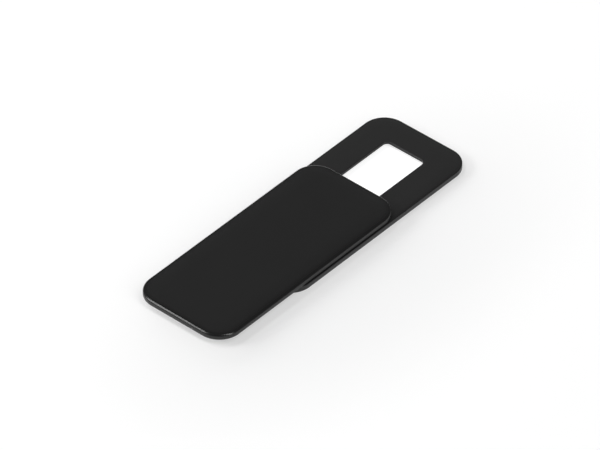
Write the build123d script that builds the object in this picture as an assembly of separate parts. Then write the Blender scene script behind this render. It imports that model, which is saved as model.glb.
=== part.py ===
from build123d import *
import os

# Webcam cover slider: a base plate with a window, a sliding cover and an adhesive tape frame.
# Millimetres, +Z up. X is the sliding direction and points at the window's end. The cover is slid open.
# The origin is the middle of the whole footprint, on the surface that the tape sticks to.

# Base plate
PLATE_LENGTH = 36.6
PLATE_WIDTH = 16.0
PLATE_THICKNESS = 0.8
PLATE_CORNER_RADIUS = 3.35
PLATE_UPPER_ROUNDING = 0.1
PLATE_LOWER_ROUNDING = 0.04

# Window in the base plate, which is also the slot that the cover's hooks run in
WINDOW_WIDTH = 6.8
WINDOW_END_MARGIN = 4.4
WINDOW_CORNER_RADIUS = 0.7

# Undercut below the window's long edges, where the hooks' lips run
UNDERCUT_WIDTH = 0.6
UNDERCUT_DEPTH = 0.3
UNDERCUT_END_ROOM = 0.3

# Double-sided tape, in a shallow recess under the base plate that it stands a little proud of
RECESS_RIM_WIDTH = 0.45
TAPE_THICKNESS = 0.12
TAPE_PROUD = 0.03
TAPE_EDGE_CLEARANCE = 0.05
TAPE_WINDOW_MARGIN = 0.25

# Sliding cover, a little smaller than the base plate all round
COVER_END_LEDGE = 0.33
COVER_SIDE_LEDGE = 0.16
COVER_CORNER_RADIUS = 3.35
COVER_THICKNESS = 0.85
COVER_UPPER_ROUNDING = 0.32
COVER_LOWER_ROUNDING = 0.05
COVER_GAP = 0.05

# Hooks moulded on the cover's underside
HOOK_LENGTH = 5.0
HOOK_LEG_THICKNESS = 0.9
HOOK_LIP_THICKNESS = 0.2
HOOK_SIDE_CLEARANCE = 0.1
HOOK_LIP_CLEARANCE = 0.05

# Slide
TRAVEL = 14.08
END_CLEARANCE = 0.05

# Heights
plate_bottom = TAPE_PROUD
plate_top = plate_bottom + PLATE_THICKNESS
recess_top = TAPE_THICKNESS
undercut_top = recess_top + UNDERCUT_DEPTH
cover_bottom = plate_top + COVER_GAP
cover_top = cover_bottom + COVER_THICKNESS
lip_top = undercut_top - HOOK_LIP_CLEARANCE
lip_bottom = lip_top - HOOK_LIP_THICKNESS

# Places along the slide: the plate's far end and the open cover's near end are equally far from the origin
plate_x = (TRAVEL - COVER_END_LEDGE) / 2
cover_x = plate_x - TRAVEL
window_length = TRAVEL + HOOK_LENGTH + 2 * END_CLEARANCE
window_far_x = plate_x + PLATE_LENGTH / 2 - WINDOW_END_MARGIN
window_x = window_far_x - window_length / 2
hook_x = window_far_x - window_length + END_CLEARANCE + HOOK_LENGTH / 2

# Sizes that follow from a neighbour and a clearance
cover_length = PLATE_LENGTH - 2 * COVER_END_LEDGE
cover_width = PLATE_WIDTH - 2 * COVER_SIDE_LEDGE
recess_length = PLATE_LENGTH - 2 * RECESS_RIM_WIDTH
recess_width = PLATE_WIDTH - 2 * RECESS_RIM_WIDTH
recess_corner_radius = PLATE_CORNER_RADIUS - RECESS_RIM_WIDTH
undercut_length = window_length + 2 * UNDERCUT_END_ROOM
undercut_width = WINDOW_WIDTH + 2 * UNDERCUT_WIDTH
leg_outer_y = WINDOW_WIDTH / 2 - HOOK_SIDE_CLEARANCE
leg_inner_y = leg_outer_y - HOOK_LEG_THICKNESS
lip_outer_y = undercut_width / 2 - HOOK_SIDE_CLEARANCE
hook_corner_radius = WINDOW_CORNER_RADIUS - HOOK_SIDE_CLEARANCE


def rounded_slab(length, width, radius, x, bottom, top):
    """Flat slab with rounded corners, centred on X = x."""
    outline = Pos(x, 0, bottom) * RectangleRounded(length, width, radius)
    return extrude(outline, top - bottom)


def round_rims(slab, upper_radius, lower_radius):
    """The slab with its upper and lower rims rounded."""
    slab = fillet(slab.faces().sort_by(Axis.Z)[-1].edges(), upper_radius)
    return fillet(slab.faces().sort_by(Axis.Z)[0].edges(), lower_radius)


def make_base_plate():
    """Plate with the window cut through, the tape's recess below and an undercut for the hooks' lips."""
    plate = rounded_slab(
        PLATE_LENGTH, PLATE_WIDTH, PLATE_CORNER_RADIUS, plate_x, plate_bottom, plate_top
    )
    plate = round_rims(plate, PLATE_UPPER_ROUNDING, PLATE_LOWER_ROUNDING)
    plate -= rounded_slab(
        recess_length, recess_width, recess_corner_radius, plate_x, plate_bottom, recess_top
    )
    plate -= rounded_slab(
        window_length, WINDOW_WIDTH, WINDOW_CORNER_RADIUS, window_x, plate_bottom, plate_top
    )
    plate -= rounded_slab(
        undercut_length, undercut_width, WINDOW_CORNER_RADIUS, window_x, plate_bottom, undercut_top
    )
    return plate


def make_adhesive_tape():
    """Tape frame that fills the recess, set back from the undercut."""
    tape = rounded_slab(
        recess_length - 2 * TAPE_EDGE_CLEARANCE,
        recess_width - 2 * TAPE_EDGE_CLEARANCE,
        recess_corner_radius - TAPE_EDGE_CLEARANCE,
        plate_x,
        0,
        recess_top,
    )
    tape -= rounded_slab(
        undercut_length + 2 * TAPE_WINDOW_MARGIN,
        undercut_width + 2 * TAPE_WINDOW_MARGIN,
        WINDOW_CORNER_RADIUS,
        window_x,
        0,
        recess_top,
    )
    return tape


def make_hooks():
    """Two hooks: legs down through the window, with lips that reach outwards under its long edges."""
    legs = rounded_slab(
        HOOK_LENGTH, 2 * leg_outer_y, hook_corner_radius, hook_x, lip_bottom, cover_bottom
    )
    lips = rounded_slab(
        HOOK_LENGTH, 2 * lip_outer_y, hook_corner_radius, hook_x, lip_bottom, lip_top
    )
    between = Pos(hook_x, 0, lip_bottom) * Rectangle(HOOK_LENGTH, 2 * leg_inner_y)
    return legs + lips - extrude(between, cover_bottom - lip_bottom)


def make_slider_cover():
    """Cover plate with rounded rims and two hooks on its underside."""
    cover = rounded_slab(
        cover_length, cover_width, COVER_CORNER_RADIUS, cover_x, cover_bottom, cover_top
    )
    cover = round_rims(cover, COVER_UPPER_ROUNDING, COVER_LOWER_ROUNDING)
    return cover + make_hooks()


os.makedirs("parts", exist_ok=True)
export_step(make_base_plate(), "parts/base_plate.step")
export_step(make_adhesive_tape(), "parts/adhesive_tape.step")
export_step(make_slider_cover(), "parts/slider_cover.step")
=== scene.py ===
# %% [markdown]
# A webcam cover slider is two thin black mouldings and a frame of tape. The base plate has a window for
# the camera's lens, and the cover slides over it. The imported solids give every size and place, so the
# lesson starts by loading them, and the mouldings are then built again with the soft rims of the real
# ones.

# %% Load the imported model
import math

import bmesh
import bpy
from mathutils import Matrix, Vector


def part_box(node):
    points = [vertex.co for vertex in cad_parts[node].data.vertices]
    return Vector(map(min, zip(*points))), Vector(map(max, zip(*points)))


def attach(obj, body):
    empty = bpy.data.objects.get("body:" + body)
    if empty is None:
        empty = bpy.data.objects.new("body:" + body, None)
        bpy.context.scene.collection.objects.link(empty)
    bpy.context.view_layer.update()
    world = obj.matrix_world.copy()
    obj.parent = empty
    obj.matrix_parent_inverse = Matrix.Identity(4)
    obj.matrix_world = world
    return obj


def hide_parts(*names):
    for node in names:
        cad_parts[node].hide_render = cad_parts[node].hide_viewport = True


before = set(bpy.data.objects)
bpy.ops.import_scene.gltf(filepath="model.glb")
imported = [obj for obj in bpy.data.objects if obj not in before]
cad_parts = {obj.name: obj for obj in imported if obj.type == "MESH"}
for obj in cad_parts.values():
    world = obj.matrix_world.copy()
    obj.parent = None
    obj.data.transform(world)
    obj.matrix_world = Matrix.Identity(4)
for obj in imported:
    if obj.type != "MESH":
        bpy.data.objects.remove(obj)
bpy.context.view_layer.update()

MM = 0.001


def in_mm(lengths, digits=2):
    """Metres as rounded millimetres, for the printed notes."""
    return [round(length / MM, digits) for length in lengths]


# %% [markdown]
# The rest of the sizes follow from the solids' boxes and a few moulding sizes. Keeping them together, in
# millimetres, shows at a glance how thin the thing is: the whole slider is about as thick as a coin.

# %% Sizes of the two mouldings
base_low, base_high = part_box("base_plate")
cover_low, cover_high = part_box("slider_cover")
tape_low, tape_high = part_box("adhesive_tape")

BASE_CORNER_RADIUS = 3.35 * MM
COVER_CORNER_RADIUS = 3.35 * MM
COVER_GAP = 0.05 * MM
TRAVEL = 14.08 * MM

HOOK_LENGTH = 5.0 * MM
HOOK_LEG_THICKNESS = 0.9 * MM
HOOK_LIP_THICKNESS = 0.2 * MM
HOOK_END_CLEARANCE = 0.05 * MM
HOOK_SIDE_CLEARANCE = 0.1 * MM

WINDOW_WIDTH = 6.8 * MM
WINDOW_END_MARGIN = 4.4 * MM
WINDOW_CORNER_RADIUS = 0.7 * MM
UNDERCUT_WIDTH = 0.6 * MM
UNDERCUT_DEPTH = 0.3 * MM
UNDERCUT_END_ROOM = 0.3 * MM
RECESS_RIM_WIDTH = 0.45 * MM

cover_bottom = base_high.z + COVER_GAP
recess_top = tape_high.z
undercut_top = recess_top + UNDERCUT_DEPTH
window_length = TRAVEL + HOOK_LENGTH + 2 * HOOK_END_CLEARANCE
window_far_x = base_high.x - WINDOW_END_MARGIN
window_near_x = window_far_x - window_length
window_x = (window_near_x + window_far_x) / 2
print("tape from", in_mm(tape_low), "to", in_mm(tape_high))
print("heights of the base's top, the cover's underside and its top:",
      in_mm([base_high.z, cover_bottom, cover_high.z]))

# %% [markdown]
# Both mouldings are slabs with rounded corners. In the editor that is a plane whose corners are bevelled,
# then extruded. The same operators work on a bmesh: a one-face grid, a vertex bevel, and an extrusion
# upwards.

# %% Rounded slabs
CORNER_STEPS = 18


def rounded_rectangle(bm, length, width, radius, x, z):
    """One flat face with round corners, centred on X = x."""
    corners = bmesh.ops.create_grid(bm, x_segments=1, y_segments=1, size=0.5)["verts"]
    bmesh.ops.scale(bm, vec=(length, width, 1), verts=corners)
    bmesh.ops.translate(bm, vec=(x, 0, z), verts=corners)
    rounded = bmesh.ops.bevel(
        bm, geom=corners, offset=radius, offset_type="OFFSET", affect="VERTICES",
        segments=CORNER_STEPS, profile=0.5, material=-1,
    )
    return rounded["verts"][0].link_faces[0]


def extrude_by(bm, face, step):
    """Extrude one face by a step and return the moved face. A face inside a surface leaves nothing behind."""
    has_neighbours = any(len(edge.link_faces) > 1 for edge in face.edges)
    moved = bmesh.ops.extrude_face_region(bm, geom=[face])["geom"]
    bmesh.ops.translate(bm, vec=step, verts=[part for part in moved if isinstance(part, bmesh.types.BMVert)])
    if has_neighbours:
        bmesh.ops.delete(bm, geom=[face], context="FACES_ONLY")
    return next(part for part in moved if isinstance(part, bmesh.types.BMFace))


def highest_face(bm):
    return max(bm.faces, key=lambda face: face.calc_center_median().z)


def lowest_face(bm):
    return min(bm.faces, key=lambda face: face.calc_center_median().z)


print("corners are drawn in", CORNER_STEPS, "steps")

# %% [markdown]
# A moulded plate has no sharp rim: the edge is rounded, and the top rolls off a little towards it. On
# black plastic that roll-off is all one sees of the form, because it mirrors another part of the room. A
# bevel rounds the rim, and a few insets, each a bit higher than the last, make the roll-off. Each point
# also notes whether it lies on the upper rim, so that the finish can be a little more polished there.

# %% Rims and roll-off
RIM_LAYER = "rim"
RIM_FADE_RINGS = 2
LEAST_UPWARD_NORMAL = 0.2


def round_rim(bm, face, radius, steps):
    """Round the edges round a flat face and note the points that face upwards as rim."""
    rim = bm.verts.layers.float[RIM_LAYER]
    rounded = bmesh.ops.bevel(
        bm, geom=list(face.edges), offset=radius, offset_type="OFFSET", affect="EDGES",
        segments=steps, profile=0.5, material=-1,
    )
    bm.normal_update()
    for point in rounded["verts"]:
        point[rim] = 1.0 if point.normal.z > LEAST_UPWARD_NORMAL else 0.0


def rise_of(width, slope):
    """How far a ring of this width climbs at a slope in degrees."""
    return width * math.tan(math.radians(slope))


def roll_off(bm, face, rings):
    """Inset a face ring by ring, each ring less steep, and return the level face in the middle."""
    rim = bm.verts.layers.float[RIM_LAYER]
    for count, (width, slope) in enumerate(rings, start=1):
        bmesh.ops.inset_region(
            bm, faces=[face], thickness=width, depth=rise_of(width, slope),
            use_even_offset=True, use_boundary=True,
        )
        for point in face.verts:
            point[rim] = max(0.0, 1.0 - count / RIM_FADE_RINGS)
    return face


print("the polish of a rim fades over", RIM_FADE_RINGS, "rings")

# %% One moulded plate
LOWER_RIM_STEPS = 3


def moulded_plate(low, high, corner_radius, upper_rim, upper_steps, lower_rim, rings):
    """A plate with rounded rims and a rolled-off top, as its bmesh and the level face on its top."""
    bm = bmesh.new()
    bm.verts.layers.float.new(RIM_LAYER)
    outline = rounded_rectangle(
        bm, high.x - low.x, high.y - low.y, corner_radius, (low.x + high.x) / 2, low.z
    )
    roll_off_height = sum(rise_of(width, slope) for width, slope in rings)
    extrude_by(bm, outline, (0, 0, high.z - low.z - roll_off_height))
    bm.normal_update()
    round_rim(bm, highest_face(bm), upper_rim, upper_steps)
    round_rim(bm, lowest_face(bm), lower_rim, LOWER_RIM_STEPS)
    middle = roll_off(bm, highest_face(bm), rings)
    print("plate of", len(bm.faces), "faces, its top rolls off by", in_mm([roll_off_height], 3), "mm")
    return bm, middle


print("lower rims are drawn in", LOWER_RIM_STEPS, "steps")

# %% [markdown]
# A finished bmesh becomes an object at the origin. All faces are shaded smooth, and the few real folds,
# such as the hooks' edges, are marked sharp by their angle, as Shade Smooth by Angle does.

# %% From bmesh to piece
SHARP_FOLD = math.radians(40)


def make_piece(name, bm, body, node):
    """Turn a bmesh into an object that stands for a solid and moves with a body."""
    bmesh.ops.recalc_face_normals(bm, faces=bm.faces)
    for face in bm.faces:
        face.smooth = True
    for edge in bm.edges:
        edge.smooth = edge.calc_face_angle(0.0) < SHARP_FOLD
    open_edges = sum(1 for edge in bm.edges if not edge.is_manifold)
    mesh = bpy.data.meshes.new(name)
    bm.to_mesh(mesh)
    bm.free()
    piece = bpy.data.objects.new(name, mesh)
    bpy.context.scene.collection.objects.link(piece)
    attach(piece, body)
    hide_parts(node)
    print(name, len(mesh.polygons), "faces,", open_edges, "open edges")
    return piece


print("folds over", round(math.degrees(SHARP_FOLD)), "degrees stay sharp")

# %% [markdown]
# The sliding cover is a plain plate with a generous upper rim and a small lower one. Its roll-off is
# listed ring by ring from the rim inwards: each ring's width, and its slope in degrees. The last ring is
# level, so that the soft shading of the rim doesn't spread over the whole top.

# %% Sliding cover
COVER_UPPER_RIM = 0.32 * MM
COVER_LOWER_RIM = 0.05 * MM
COVER_RIM_STEPS = 10
COVER_ROLL_OFF = [
    (0.25 * MM, 5.0), (0.35 * MM, 3.6), (0.60 * MM, 2.2), (1.00 * MM, 0.9), (0.12 * MM, 0.0),
]

cover_mesh, cover_middle = moulded_plate(
    Vector((cover_low.x, cover_low.y, cover_bottom)), cover_high, COVER_CORNER_RADIUS,
    COVER_UPPER_RIM, COVER_RIM_STEPS, COVER_LOWER_RIM, COVER_ROLL_OFF,
)
print("level part of the cover's top:", round(cover_middle.calc_area() / MM ** 2), "square mm")

# %% [markdown]
# Two hooks on the cover's underside reach through the base's window and hold it on. They could be blocks
# that are pushed into the plate, but hidden walls would then stay inside. So they grow out of the plate
# itself: the underside is cut along the hooks' outlines, and the two small faces between the cuts are
# extruded down and then outwards.

# %% Hooks under the cover
TOUCHING = 0.001 * MM
DOWNWARD_NORMAL = -0.99
ACROSS_X, ACROSS_Y = 0, 1


def cut_underside(bm, axis, place):
    """Cut the flat underside of the cover along a plane across X or Y."""
    flat = [
        face for face in bm.faces
        if face.normal.z < DOWNWARD_NORMAL and abs(face.calc_center_median().z - cover_bottom) < TOUCHING
    ]
    geometry = dict.fromkeys(part for face in flat for part in [face, *face.edges, *face.verts])
    point, normal = [0, 0, 0], [0, 0, 0]
    point[axis], normal[axis] = place, 1
    bmesh.ops.bisect_plane(bm, geom=list(geometry), dist=TOUCHING, plane_co=point, plane_no=normal)


hook_start = window_near_x + HOOK_END_CLEARANCE
hook_end = hook_start + HOOK_LENGTH
hook_outer_y = WINDOW_WIDTH / 2 - HOOK_SIDE_CLEARANCE
hook_inner_y = hook_outer_y - HOOK_LEG_THICKNESS
cover_mesh.normal_update()
for end in (hook_start, hook_end):
    cut_underside(cover_mesh, ACROSS_X, end)
for side in (-hook_outer_y, -hook_inner_y, hook_inner_y, hook_outer_y):
    cut_underside(cover_mesh, ACROSS_Y, side)
print("hooks from", in_mm([hook_start, hook_end]), "mm in X,", in_mm([hook_inner_y, hook_outer_y]), "mm in Y")

# %% Extrude the hooks
lip_top = cover_low.z + HOOK_LIP_THICKNESS
hook_x = (hook_start + hook_end) / 2
hook_y = (hook_inner_y + hook_outer_y) / 2
for side in (-1, 1):
    root_middle = Vector((hook_x, side * hook_y, cover_bottom))
    root = min(cover_mesh.faces, key=lambda face: (face.calc_center_median() - root_middle).length)
    leg = extrude_by(cover_mesh, root, (0, 0, lip_top - cover_bottom))
    lip = extrude_by(cover_mesh, leg, (0, 0, -HOOK_LIP_THICKNESS))
    cover_mesh.normal_update()
    walls = [face for edge in lip.edges for face in edge.link_faces if face is not lip]
    outer_wall = max(walls, key=lambda face: side * face.calc_center_median().y)
    extrude_by(cover_mesh, outer_wall, (0, side * UNDERCUT_WIDTH, 0))
cover_piece = make_piece("cover_shell", cover_mesh, "slider", "slider_cover")

# %% [markdown]
# The base plate is a frame round the window. Its outside is made like the cover's, with smaller rims, and
# an inset on the underside, pushed up, is the shallow recess that the tape sits in. The flat faces in the
# middle are then taken away, and their outlines stay as open loops for the window.

# %% Outside of the base plate
BASE_UPPER_RIM = 0.1 * MM
BASE_LOWER_RIM = 0.04 * MM
BASE_RIM_STEPS = 5
BASE_ROLL_OFF = [
    (0.20 * MM, 3.5), (0.30 * MM, 2.4), (0.50 * MM, 1.5), (0.70 * MM, 0.7), (0.12 * MM, 0.0),
]


def open_loop(bm, face):
    """Take a flat face away and keep its outline."""
    loop = list(face.edges)
    bmesh.ops.delete(bm, geom=[face], context="FACES_ONLY")
    return loop


base_mesh, base_middle = moulded_plate(
    base_low, base_high, BASE_CORNER_RADIUS,
    BASE_UPPER_RIM, BASE_RIM_STEPS, BASE_LOWER_RIM, BASE_ROLL_OFF,
)
top_loop = open_loop(base_mesh, base_middle)
recess = lowest_face(base_mesh)
bmesh.ops.inset_region(
    base_mesh, faces=[recess], thickness=RECESS_RIM_WIDTH - BASE_LOWER_RIM,
    use_even_offset=True, use_boundary=True,
)
recess = extrude_by(base_mesh, recess, (0, 0, recess_top - base_low.z))
bottom_loop = open_loop(base_mesh, recess)
print("open loops of", len(top_loop), "and", len(bottom_loop), "edges")

# %% [markdown]
# The window's wall is one more rounded rectangle, extruded down and left open at both ends like a sleeve.
# Below it, a wider sleeve is the groove that the hooks' lips run in. Four bridges join the open loops to
# one closed moulding. A narrow flat ring round the window keeps the soft shading of the window's rim,
# which a small bevel rounds last, from spreading over the whole top.

# %% Window and groove
WINDOW_RIM = 0.06 * MM
WINDOW_RIM_STEPS = 3
WINDOW_RING = 0.2 * MM


def open_sleeve(bm, length, width, top, bottom):
    """The walls of an opening round the window's middle, as their upper and their lower loop."""
    lid = rounded_rectangle(bm, length, width, WINDOW_CORNER_RADIUS, window_x, top)
    floor_face = extrude_by(bm, lid, (0, 0, bottom - top))
    return open_loop(bm, lid), open_loop(bm, floor_face)


window_loop, window_low_loop = open_sleeve(base_mesh, window_length, WINDOW_WIDTH, base_high.z, undercut_top)
groove_loop, groove_low_loop = open_sleeve(
    base_mesh, window_length + 2 * UNDERCUT_END_ROOM, WINDOW_WIDTH + 2 * UNDERCUT_WIDTH,
    undercut_top, recess_top,
)
ring_loop = open_loop(base_mesh, rounded_rectangle(
    base_mesh, window_length + 2 * WINDOW_RING, WINDOW_WIDTH + 2 * WINDOW_RING,
    WINDOW_CORNER_RADIUS + WINDOW_RING, window_x, base_high.z,
))
for loops in (
    top_loop + ring_loop, ring_loop + window_loop,
    window_low_loop + groove_loop, groove_low_loop + bottom_loop,
):
    bmesh.ops.bridge_loops(base_mesh, edges=loops)
bmesh.ops.bevel(
    base_mesh, geom=window_loop, offset=WINDOW_RIM, offset_type="OFFSET", affect="EDGES",
    segments=WINDOW_RIM_STEPS, profile=0.5, material=-1,
)
base_piece = make_piece("base_shell", base_mesh, "base", "base_plate")

# %% [markdown]
# Materials are node trees. One small function adds a node, sets its values and links its inputs, so that
# a tree reads from top to bottom like a recipe. Colours are picked as sRGB hex values, and Blender's
# sockets want linear light, so another function turns one into the other.

# %% Helpers for node trees


def linear(hex_colour):
    """sRGB hex to linear RGBA."""
    parts = [int(hex_colour[i:i + 2], 16) / 255 for i in (1, 3, 5)]
    return tuple(p / 12.92 if p <= 0.04045 else ((p + 0.055) / 1.055) ** 2.4 for p in parts) + (1.0,)


def plug(tree, node, **inputs):
    """Give a node's inputs values or other nodes' outputs. A key such as i6 is the number of a socket."""
    for key, value in inputs.items():
        numbered = key[0] == "i" and key[1:].isdigit()
        socket = node.inputs[int(key[1:]) if numbered else key.replace("_", " ")]
        if isinstance(value, bpy.types.NodeSocket):
            tree.links.new(value, socket)
        else:
            socket.default_value = value


def add_node(tree, kind, settings=None, **inputs):
    """Add a node with its settings and its inputs."""
    node = tree.nodes.new(kind)
    for name, value in (settings or {}).items():
        setattr(node, name, value)
    plug(tree, node, **inputs)
    return node


def new_material(name):
    material = bpy.data.materials.new(name)
    material.use_nodes = True
    return material, material.node_tree, material.node_tree.nodes["Principled BSDF"]


def per_metre(size_mm):
    """A texture's scale for a pattern whose grains are size_mm wide."""
    return 1 / (size_mm * MM)


print("the middle grey #808080 is", round(linear("#808080")[0], 3), "in linear light")

# %% [markdown]
# Both plates are moulded ABS, dyed black, with the fine spark-eroded texture that such mould tools have.
# To the eye that gives a deep, slightly grey black with a soft broad sheen and no mirror image. The
# texture is a fraction of a tenth of a millimetre, finer than a pixel here, so it is drawn about three
# times as coarse, and shallow. Larger, fainter clouds are the flow of the plastic. Rims are handled and a
# little more polished.

# %% Moulded ABS
GRAIN_MM = 0.22
GRAIN_DEPTH = 0.004 * MM
GRAIN_STRENGTH = 0.35
FLOW_MM = 6.0
SHEEN_SPREAD = 0.02
ABS_IOR = 1.5
ABS_MATT = 0.42
ABS_POLISHED = 0.24
NOISE_BAND = {"From_Min": 0.3, "From_Max": 0.7}
CLOUD_SHARE = {"To_Min": 0.2, "To_Max": 0.8}


def moulded_abs(name, dark_hex, light_hex):
    """ABS between two near blacks, matt on its faces and more polished on its rims."""
    material, tree, shader = new_material(name)
    place = add_node(tree, "ShaderNodeTexCoord").outputs["Object"]
    grain = add_node(
        tree, "ShaderNodeTexNoise", Vector=place, Scale=per_metre(GRAIN_MM), Detail=3.0, Roughness=0.6
    ).outputs["Fac"]
    flow = add_node(
        tree, "ShaderNodeTexNoise", Vector=place, Scale=per_metre(FLOW_MM), Detail=2.0, Roughness=0.5
    ).outputs["Fac"]
    rim = add_node(tree, "ShaderNodeAttribute", {"attribute_name": RIM_LAYER}).outputs["Fac"]
    clouds = add_node(tree, "ShaderNodeMapRange", Value=flow, **NOISE_BAND, **CLOUD_SHARE)
    colour = add_node(
        tree, "ShaderNodeMix", {"data_type": "RGBA"},
        i0=clouds.outputs["Result"], i6=linear(dark_hex), i7=linear(light_hex),
    )
    matt = add_node(
        tree, "ShaderNodeMapRange",
        Value=grain, To_Min=ABS_MATT - SHEEN_SPREAD, To_Max=ABS_MATT + SHEEN_SPREAD, **NOISE_BAND,
    )
    sheen = add_node(
        tree, "ShaderNodeMix", {"data_type": "FLOAT"}, i0=rim, i2=matt.outputs["Result"], i3=ABS_POLISHED
    )
    bump = add_node(tree, "ShaderNodeBump", Strength=GRAIN_STRENGTH, Distance=GRAIN_DEPTH, Height=grain)
    plug(
        tree, shader, IOR=ABS_IOR, Base_Color=colour.outputs[2], Roughness=sheen.outputs[0],
        Normal=bump.outputs["Normal"],
    )
    return material


cover_abs = moulded_abs("moulded_abs_cover", "#101010", "#131313")
base_abs = moulded_abs("moulded_abs_base", "#1a1a1a", "#1d1d1d")
cover_piece.data.materials.append(cover_abs)
base_piece.data.materials.append(base_abs)
print("finishes:", cover_abs.name, base_abs.name)

# %% [markdown]
# Where the plastic flowed into the mould, a small gate was cut off and left a pale, stressed spot at the
# foot of the cover's front wall. A mask from the distance to that spot is enough: it lies in the finish,
# not in the form.

# %% Gate scar on the cover's front
SCAR_Y = -2.6 * MM
SCAR_HEIGHT = 0.1 * MM
SCAR_CORE = 0.12 * MM
SCAR_EDGE = 0.28 * MM
STRESSED_ABS = "#6a6a6a"

scar_middle = Vector((cover_low.x, SCAR_Y, cover_bottom + SCAR_HEIGHT))
scar_tree = cover_abs.node_tree
scar_shader = scar_tree.nodes["Principled BSDF"]
dyed_black = scar_shader.inputs["Base Color"].links[0].from_socket
scar_place = add_node(scar_tree, "ShaderNodeTexCoord").outputs["Object"]
from_scar = add_node(
    scar_tree, "ShaderNodeVectorMath", {"operation": "DISTANCE"}, i0=scar_place, i1=scar_middle
)
scar_mask = add_node(
    scar_tree, "ShaderNodeMapRange",
    Value=from_scar.outputs["Value"], From_Min=SCAR_CORE, From_Max=SCAR_EDGE, To_Min=1.0, To_Max=0.0,
)
scarred = add_node(
    scar_tree, "ShaderNodeMix", {"data_type": "RGBA"},
    i0=scar_mask.outputs["Result"], i6=dyed_black, i7=linear(STRESSED_ABS),
)
plug(scar_tree, scar_shader, Base_Color=scarred.outputs[2])
print("gate scar at", in_mm(scar_middle), "mm")

# %% [markdown]
# The tape under the base is a tissue carrier soaked with clear acrylic glue on both sides. It looks
# milky, with short paper fibres in it and a wet gloss. Its solid is already the right shape, so it only
# gets the finish. The fibres are a noise texture, stretched along them and turned a little.

# %% Double-sided tissue tape
FIBRE_MM = 0.8
FIBRE_STRETCH = 5.0
FIBRE_TURN = 0.6
FIBRE_DEPTH = 0.01 * MM
FIBRE_STRENGTH = 0.3
FIBRE_BAND = {"From_Min": 0.4, "From_Max": 0.65}
FIBRE_COLOUR = "#f0ede4"
GLUE_COLOUR = "#dedacd"
GLUE_MM = 2.5
GLUE_GLOSS = {"To_Min": 0.28, "To_Max": 0.42}

tissue_tape, tape_tree, tape_shader = new_material("acrylic_tissue_tape")
tape_place = add_node(tape_tree, "ShaderNodeTexCoord").outputs["Object"]
stretched = add_node(
    tape_tree, "ShaderNodeMapping",
    Vector=tape_place, Rotation=(0, 0, FIBRE_TURN), Scale=(1.0, FIBRE_STRETCH, 1.0),
)
fibres = add_node(
    tape_tree, "ShaderNodeTexNoise",
    Vector=stretched.outputs["Vector"], Scale=per_metre(FIBRE_MM), Detail=4.0,
).outputs["Fac"]
glue = add_node(
    tape_tree, "ShaderNodeTexNoise", Vector=tape_place, Scale=per_metre(GLUE_MM), Detail=2.0
).outputs["Fac"]
fibre_mask = add_node(tape_tree, "ShaderNodeMapRange", Value=fibres, **FIBRE_BAND)
tape_colour = add_node(
    tape_tree, "ShaderNodeMix", {"data_type": "RGBA"},
    i0=fibre_mask.outputs["Result"], i6=linear(GLUE_COLOUR), i7=linear(FIBRE_COLOUR),
)
tape_gloss = add_node(tape_tree, "ShaderNodeMapRange", Value=glue, **NOISE_BAND, **GLUE_GLOSS)
tape_bump = add_node(
    tape_tree, "ShaderNodeBump", Strength=FIBRE_STRENGTH, Distance=FIBRE_DEPTH, Height=fibres
)
plug(
    tape_tree, tape_shader, Base_Color=tape_colour.outputs[2], Roughness=tape_gloss.outputs["Result"],
    Normal=tape_bump.outputs["Normal"],
)
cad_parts["adhesive_tape"].material_slots[0].material = tissue_tape
print("tape finish:", tissue_tape.name)

# %% [markdown]
# The slider lies on a white studio table. The floor is one large face with the finish of a matt white
# sheet, which takes the soft shadow. It is a light grey in itself, and the glow of the next step brings
# it up to white.

# %% White floor
FLOOR_HALF = 0.6
SHEET_ROUGHNESS = 0.9
SHEET_GREY = "#bcbcbc"

floor_mesh = bmesh.new()
bmesh.ops.create_grid(floor_mesh, x_segments=1, y_segments=1, size=FLOOR_HALF)
floor_data = bpy.data.meshes.new("floor")
floor_mesh.to_mesh(floor_data)
floor_mesh.free()
floor = bpy.data.objects.new("floor", floor_data)
bpy.context.scene.collection.objects.link(floor)
white_sheet, sheet_tree, sheet_shader = new_material("matt_white_sheet")
plug(
    sheet_tree, sheet_shader,
    Base_Color=linear(SHEET_GREY), Roughness=SHEET_ROUGHNESS, Specular_IOR_Level=0.0,
)
floor_data.materials.append(white_sheet)
print("floor", 2 * FLOOR_HALF, "m wide")

# %% [markdown]
# A little glow, seen only by the camera and in reflections, lifts the far floor to plain white, without
# lighting the object. Light Path tells the material which kind of ray asks. The glow grows slowly away
# from the slider, in an ellipse along it whose middle lies towards the front and right. The lower glow
# beside the slider is therefore a painted soft shade round it, deepest on the side where its shadow falls.

# %% Glow of the floor
# Less glow beside the slider than far from it is a painted soft shade. The ellipse's middle sits towards the
# front and right, where the shadow falls.
NEAR_GLOW = 0.446
FAR_GLOW = 0.520
PAINTED_SHADE_MIDDLE = (-4 * MM, -7 * MM)
GLOW_REACH = (42 * MM, 24 * MM)
GLOW_START = 0.4
GLOW_END = 1.3

ray = add_node(sheet_tree, "ShaderNodeLightPath")
looked_at = add_node(
    sheet_tree, "ShaderNodeMath", {"operation": "ADD"},
    i0=ray.outputs["Is Camera Ray"], i1=ray.outputs["Is Glossy Ray"],
)
seen = add_node(
    sheet_tree, "ShaderNodeMath", {"operation": "ADD", "use_clamp": True},
    i0=looked_at.outputs[0], i1=ray.outputs["Is Transmission Ray"],
)
sheet_place = add_node(sheet_tree, "ShaderNodeTexCoord").outputs["Object"]
ellipse = add_node(
    sheet_tree, "ShaderNodeMapping", Vector=sheet_place, Scale=(1 / GLOW_REACH[0], 1 / GLOW_REACH[1], 0.0),
    Location=(-PAINTED_SHADE_MIDDLE[0] / GLOW_REACH[0], -PAINTED_SHADE_MIDDLE[1] / GLOW_REACH[1], 0.0),
)
outwards = add_node(
    sheet_tree, "ShaderNodeVectorMath", {"operation": "LENGTH"}, i0=ellipse.outputs["Vector"]
)
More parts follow.
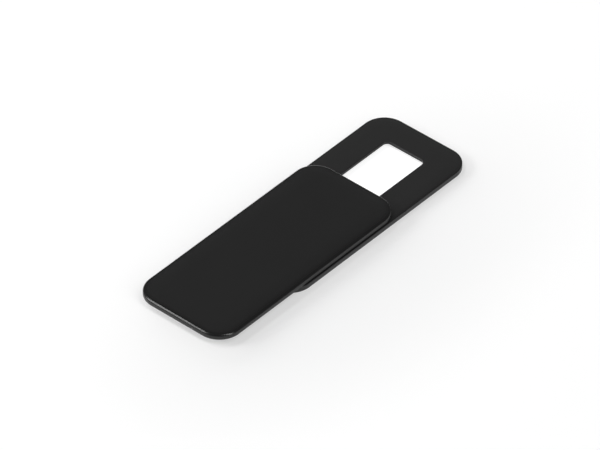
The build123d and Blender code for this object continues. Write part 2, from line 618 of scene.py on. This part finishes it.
level = add_node(
    sheet_tree, "ShaderNodeMapRange", {"interpolation_type": "SMOOTHSTEP"}, Value=outwards.outputs["Value"],
    From_Min=GLOW_START, From_Max=GLOW_END, To_Min=NEAR_GLOW, To_Max=FAR_GLOW,
)
level_seen = add_node(
    sheet_tree, "ShaderNodeMath", {"operation": "MULTIPLY"}, i0=seen.outputs[0], i1=level.outputs["Result"]
)
print("glow from", NEAR_GLOW, "beside the slider to", FAR_GLOW, "far from it")

# %% [markdown]
# Through the window, the camera alone sees some more glow on the floor. This is painted light that lifts
# the shade of the window's walls there to plain white. Reflections don't see it, so that the window's walls
# stay dark. The patch is a disc under the open window that fades out below the base plate, where nobody
# sees its edge.

# %% Painted white light in the window
WINDOW_GLOW = 0.3
PATCH_CORE = 6.2 * MM
PATCH_EDGE = 7.6 * MM

patch_middle = Vector(((cover_high.x + window_far_x) / 2, 0, 0))
from_window = add_node(
    sheet_tree, "ShaderNodeVectorMath", {"operation": "DISTANCE"}, i0=sheet_place, i1=patch_middle
)
patch = add_node(
    sheet_tree, "ShaderNodeMapRange", Value=from_window.outputs["Value"],
    From_Min=PATCH_CORE, From_Max=PATCH_EDGE, To_Min=WINDOW_GLOW, To_Max=0.0,
)
# Painted light: only the camera sees this extra glow, which whitens the shade on the floor inside the window.
painted_light_seen = add_node(
    sheet_tree, "ShaderNodeMath", {"operation": "MULTIPLY"},
    i0=ray.outputs["Is Camera Ray"], i1=patch.outputs["Result"],
)
glow = add_node(
    sheet_tree, "ShaderNodeMath", {"operation": "ADD"}, i0=level_seen.outputs[0], i1=painted_light_seen.outputs[0]
)
plug(sheet_tree, sheet_shader, Emission_Color=linear("#ffffff"), Emission_Strength=glow.outputs[0])
print("white patch round", in_mm(patch_middle), "mm")

# %% [markdown]
# Black plastic shows what it mirrors. The flat tops mirror one part of the room, above the far side of
# the table, and no lamp stands there, so the tops stay a deep even black. The room itself is a faint even
# glow that softens the shadow at the slider's foot, and the camera sees plain white behind the floor.

# %% Room light
ROOM_GLOW = 0.16

room = bpy.data.worlds.new("studio_room")
room.use_nodes = True
bpy.context.scene.world = room
room_tree = room.node_tree
room_ray = add_node(room_tree, "ShaderNodeLightPath")
room_level = add_node(
    room_tree, "ShaderNodeMix", {"data_type": "FLOAT"},
    i0=room_ray.outputs["Is Camera Ray"], i2=ROOM_GLOW, i3=1.0,
)
plug(room_tree, room_tree.nodes["Background"], Color=linear("#ffffff"), Strength=room_level.outputs[0])
print("room glow", ROOM_GLOW)

# %% [markdown]
# Six softboxes do the rest. The key and the smaller high one stand at the upper left and together draw
# the bright line on the front rim. The side strip at the right makes the short second gleam on the near
# corner and keeps the right walls grey. The far strip is faint and almost on the table, and draws the
# thin line on the cover's far rim. Two lamps only lay the shadow on the floor: the shadow box below the
# key its crisp part, and the low strip behind the slider its long soft part. They are left out of
# reflections, as black flags in front of them would do, and the key, in turn, is only there for its
# gleam. Lamps and cameras look along their own -Z, so one function stands them in a direction and turns
# them to face their target.

# %% Softboxes
LAMP_DISTANCE = 0.6


def stand(holder, target, azimuth, elevation, distance):
    """Put a lamp or a camera round its target and face it. The azimuth runs from +X towards +Y."""
    turn, lift = math.radians(azimuth), math.radians(elevation)
    back = Vector((math.cos(turn) * math.cos(lift), math.sin(turn) * math.cos(lift), math.sin(lift)))
    holder.location = target + back * distance
    holder.rotation_euler = back.to_track_quat("Z", "Y").to_euler()
    bpy.context.scene.collection.objects.link(holder)
    print(holder.name, "at", [round(v, 3) for v in holder.location], "m")


def softbox(name, azimuth, elevation, width, height, watts):
    """A rectangular area lamp that faces the origin."""
    lamp = bpy.data.lights.new(name, "AREA")
    lamp.shape = "RECTANGLE"
    lamp.size, lamp.size_y = width, height
    lamp.energy = watts
    holder = bpy.data.objects.new(name, lamp)
    stand(holder, Vector(), azimuth, elevation, LAMP_DISTANCE)
    return holder


low_strip = softbox("low_strip", azimuth=72, elevation=11.5, width=1.5, height=0.227, watts=6.4)
low_strip.visible_glossy = False
shadow_box = softbox("shadow_softbox", azimuth=130, elevation=23, width=0.30, height=0.14, watts=1.85)
shadow_box.visible_glossy = False
key = softbox("key_softbox", azimuth=134, elevation=33, width=0.30, height=0.32, watts=2.0)
key.visible_diffuse = False
softbox("high_softbox", azimuth=107, elevation=55, width=0.218, height=0.098, watts=0.70)
softbox("side_strip", azimuth=-93, elevation=44, width=0.14, height=0.715, watts=1.80)
softbox("far_strip", azimuth=38, elevation=4, width=0.4, height=0.05, watts=0.22)

# %% [markdown]
# The camera stands where the picture was taken from: seen from the front left, about forty degrees up,
# through a long lens, so that the plate's long edges stay almost parallel.

# %% Camera
PHOTO_AZIMUTH = -138.835
PHOTO_ELEVATION = 40.423
PHOTO_DISTANCE = 0.9278
LOOK_AT = Vector((0.654, 1.256, 0.0)) * MM
LENS_MM = 420.0
SENSOR_MM = 36.0

camera_data = bpy.data.cameras.new("photo_camera")
camera_data.lens = LENS_MM
camera_data.sensor_width = SENSOR_MM
camera = bpy.data.objects.new("photo_camera", camera_data)
stand(camera, LOOK_AT, PHOTO_AZIMUTH, PHOTO_ELEVATION, PHOTO_DISTANCE)
bpy.context.scene.camera = camera
bpy.context.scene.view_settings.view_transform = "Standard"
